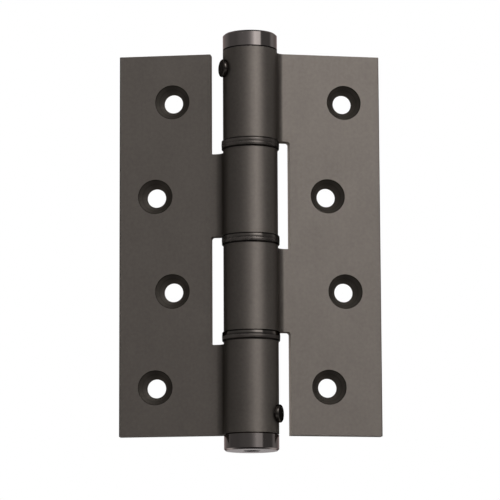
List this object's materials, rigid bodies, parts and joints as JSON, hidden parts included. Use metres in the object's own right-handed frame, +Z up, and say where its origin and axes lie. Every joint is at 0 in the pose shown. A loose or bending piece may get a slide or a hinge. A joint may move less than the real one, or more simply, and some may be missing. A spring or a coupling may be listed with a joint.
{
  "type": "spring hinge",
  "caption": "Self-closing butt hinge: countersunk leaves, interleaved knuckles on flanged bushes, end caps and lock pins, with a torsion spring inside the barrel.",
  "frame": {"origin": "on the pin axis at half the leaf's height", "axes": "+Z up along the pin, +X to the door leaf, -Y to the countersunk front; both leaves rest swung back 9 degrees"},
  "size_m": [0.0818, 0.0207, 0.1304],
  "materials": {
    "bronze_anodised_aluminium": "satin dark bronze anodised",
    "dark_plated_bush": "turned steel, plated nearly black, glossy with smears",
    "polished_bronze_cap": "turned, polished and plated dark bronze",
    "black_pin": "black oxide, glossy",
    "spring_steel": "drawn, oiled"
  },
  "bodies": {
    "frame_side": {"frame_leaf": "bronze_anodised_aluminium", "knuckle_2_upper_bush": "dark_plated_bush", "knuckle_2_lower_bush": "dark_plated_bush", "knuckle_4_upper_bush": "dark_plated_bush", "lower_plug": "polished_bronze_cap", "lower_lock_pin": "black_pin", "torsion_spring": "spring_steel"},
    "door_side": {"door_leaf": "bronze_anodised_aluminium", "knuckle_1_lower_bush": "dark_plated_bush", "knuckle_3_upper_bush": "dark_plated_bush", "knuckle_3_lower_bush": "dark_plated_bush", "upper_plug": "polished_bronze_cap", "upper_lock_pin": "black_pin"}
  },
  "joints": [
    {"name": "leaf_swing", "type": "hinge", "parent": "frame_side", "child": "door_side", "pos_m": [0, 0, 0], "axis": [0, 0, 1], "range_deg": [-198, 72], "stiffness_Nm_per_rad": 0.88, "deforming": ["torsion_spring"]}
  ]
}
